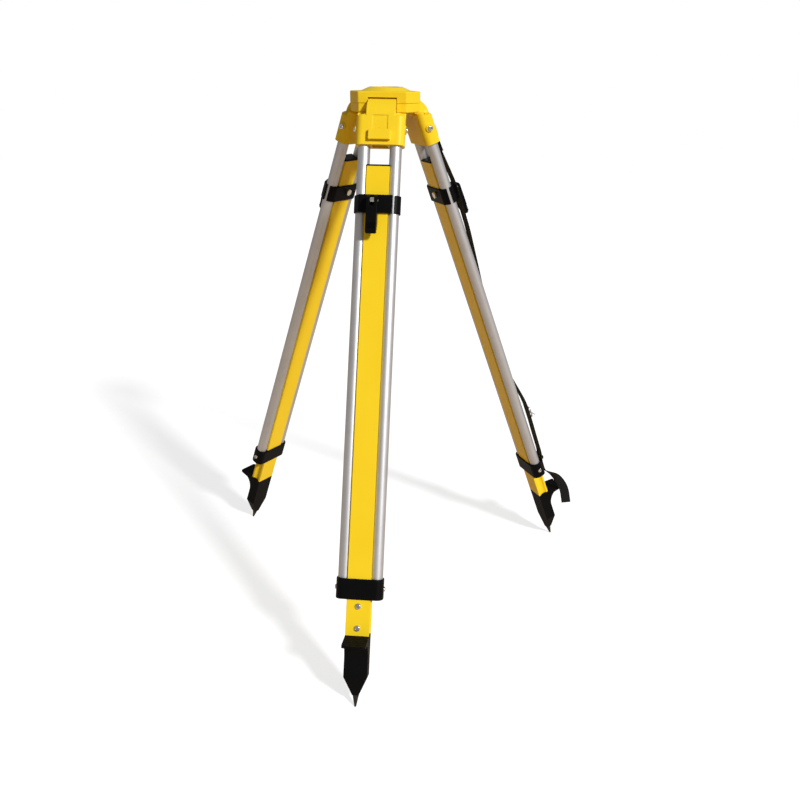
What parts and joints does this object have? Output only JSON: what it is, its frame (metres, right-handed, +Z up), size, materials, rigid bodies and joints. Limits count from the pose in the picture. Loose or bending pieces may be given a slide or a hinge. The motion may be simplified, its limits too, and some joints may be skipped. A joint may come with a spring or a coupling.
{
  "type": "construction tripod",
  "caption": "Yellow and aluminium builder's tripod with a flat head, folding twin-tube legs that extend, quick clamps, spiked feet with treads and a carrying strap.",
  "frame": {"origin": "centre of the flat platen on top of the head", "axes": "+Z up along the head's axis, the front leg points along -Y, the strap's leg towards +X"},
  "size_m": [0.7554, 0.6371, 0.9899],
  "materials": {
    "yellow_casting": "yellow powder coat on cast aluminium",
    "yellow_profile": "yellow paint on extruded aluminium",
    "leg_tube": "satin anodised",
    "black_plastic": "moulded black",
    "black_foot": "black, textured",
    "spike_steel": "dark steel, worn",
    "bright_steel": "zinc plated",
    "plated_arm": "zinc plated sheet",
    "webbing": "black woven webbing"
  },
  "bodies": {
    "head": {"head_plate": "yellow_casting", "lower_plate": "yellow_casting", "hinge_pins": "bright_steel", "head_screws": "bright_steel", "arm_pivot": "bright_steel"},
    "front_upper_leg": {"front_hinge_bracket": "yellow_casting", "front_bracket_bolts": "bright_steel", "front_tube_a": "leg_tube", "front_tube_b": "leg_tube", "front_lower_collar": "black_plastic", "front_collar_screws": "bright_steel"},
    "front_lower_leg": {"front_inner_leg": "yellow_profile", "front_end_cap": "black_plastic", "front_clamp_outer_plate": "black_plastic", "front_clamp_inner_plate": "black_plastic", "front_clamp_bolt": "bright_steel", "front_lever_pin": "bright_steel", "front_foot_shoe": "black_foot", "front_foot_spike": "spike_steel", "front_foot_screws": "bright_steel"},
    "front_lever": {"front_clamp_lever": "black_plastic"},
    "right_upper_leg": {"right_hinge_bracket": "yellow_casting", "right_bracket_bolts": "bright_steel", "right_tube_a": "leg_tube", "right_tube_b": "leg_tube", "right_lower_collar": "black_plastic", "right_collar_screws": "bright_steel", "carry_strap": "webbing", "strap_buckle": "bright_steel"},
    "right_lower_leg": {"right_inner_leg": "yellow_profile", "right_end_cap": "black_plastic", "right_clamp_outer_plate": "black_plastic", "right_clamp_inner_plate": "black_plastic", "right_clamp_bolt": "bright_steel", "right_lever_pin": "bright_steel", "right_foot_shoe": "black_foot", "right_foot_spike": "spike_steel", "right_foot_screws": "bright_steel"},
    "right_lever": {"right_clamp_lever": "black_plastic"},
    "left_upper_leg": {"left_hinge_bracket": "yellow_casting", "left_bracket_bolts": "bright_steel", "left_tube_a": "leg_tube", "left_tube_b": "leg_tube", "left_lower_collar": "black_plastic", "left_collar_screws": "bright_steel"},
    "left_lower_leg": {"left_inner_leg": "yellow_profile", "left_end_cap": "black_plastic", "left_clamp_outer_plate": "black_plastic", "left_clamp_inner_plate": "black_plastic", "left_clamp_bolt": "bright_steel", "left_lever_pin": "bright_steel", "left_foot_shoe": "black_foot", "left_foot_spike": "spike_steel", "left_foot_screws": "bright_steel"},
    "left_lever": {"left_clamp_lever": "black_plastic"},
    "screw_arm": {"screw_arm": "plated_arm"},
    "screw_slider": {"screw_slider": "plated_arm"},
    "screw_lift": {"retaining_washer": "bright_steel"},
    "fixing_screw": {"fixing_screw": "bright_steel", "screw_knob": "black_plastic"}
  },
  "joints": [
    {"name": "front_leg_hinge", "type": "hinge", "parent": "head", "child": "front_upper_leg", "pos_m": [0, -0.038, -0.0265], "axis": [-1, 0, 0], "range_deg": [-20.4, 12]},
    {"name": "front_leg_slide", "type": "slide", "parent": "front_upper_leg", "child": "front_lower_leg", "axis": [0, -0.3486, -0.9373], "range_m": [0, 0.565]},
    {"name": "front_lever_swing", "type": "hinge", "parent": "front_lower_leg", "child": "front_lever", "pos_m": [-0.005, -0.13767, -0.18148], "axis": [-1, 0, 0], "range_deg": [0, 100]},
    {"name": "right_leg_hinge", "type": "hinge", "parent": "head", "child": "right_upper_leg", "pos_m": [0.03291, 0.019, -0.0265], "axis": [0.5, -0.866, 0], "range_deg": [-20.4, 12]},
    {"name": "right_leg_slide", "type": "slide", "parent": "right_upper_leg", "child": "right_lower_leg", "axis": [0.3019, 0.1743, -0.9373], "range_m": [0, 0.565], "deforming": ["carry_strap"]},
    {"name": "right_lever_swing", "type": "hinge", "parent": "right_lower_leg", "child": "right_lever", "pos_m": [0.12173, 0.06451, -0.18148], "axis": [0.5, -0.866, 0], "range_deg": [0, 100]},
    {"name": "left_leg_hinge", "type": "hinge", "parent": "head", "child": "left_upper_leg", "pos_m": [-0.03291, 0.019, -0.0265], "axis": [0.5, 0.866, 0], "range_deg": [-20.4, 12]},
    {"name": "left_leg_slide", "type": "slide", "parent": "left_upper_leg", "child": "left_lower_leg", "axis": [-0.3019, 0.1743, -0.9373], "range_m": [0, 0.565]},
    {"name": "left_lever_swing", "type": "hinge", "parent": "left_lower_leg", "child": "left_lever", "pos_m": [-0.11673, 0.07317, -0.18148], "axis": [0.5, 0.866, 0], "range_deg": [0, 100]},
    {"name": "screw_arm_swing", "type": "hinge", "parent": "head", "child": "screw_arm", "pos_m": [0, 0.038, -0.0455], "axis": [0, 0, 1], "range_deg": [-11, 11]},
    {"name": "screw_slider_slide", "type": "slide", "parent": "screw_arm", "child": "screw_slider", "axis": [0, 1, 0], "range_m": [-0.0065, 0.0065]},
    {"name": "screw_lift", "type": "slide", "parent": "screw_slider", "child": "screw_lift", "axis": [0, 0, 1], "range_m": [0, 0.018]},
    {"name": "screw_spin", "type": "hinge", "parent": "screw_lift", "child": "fixing_screw", "pos_m": [0, 0, -0.05], "axis": [0, 0, 1], "continuous": true}
  ]
}
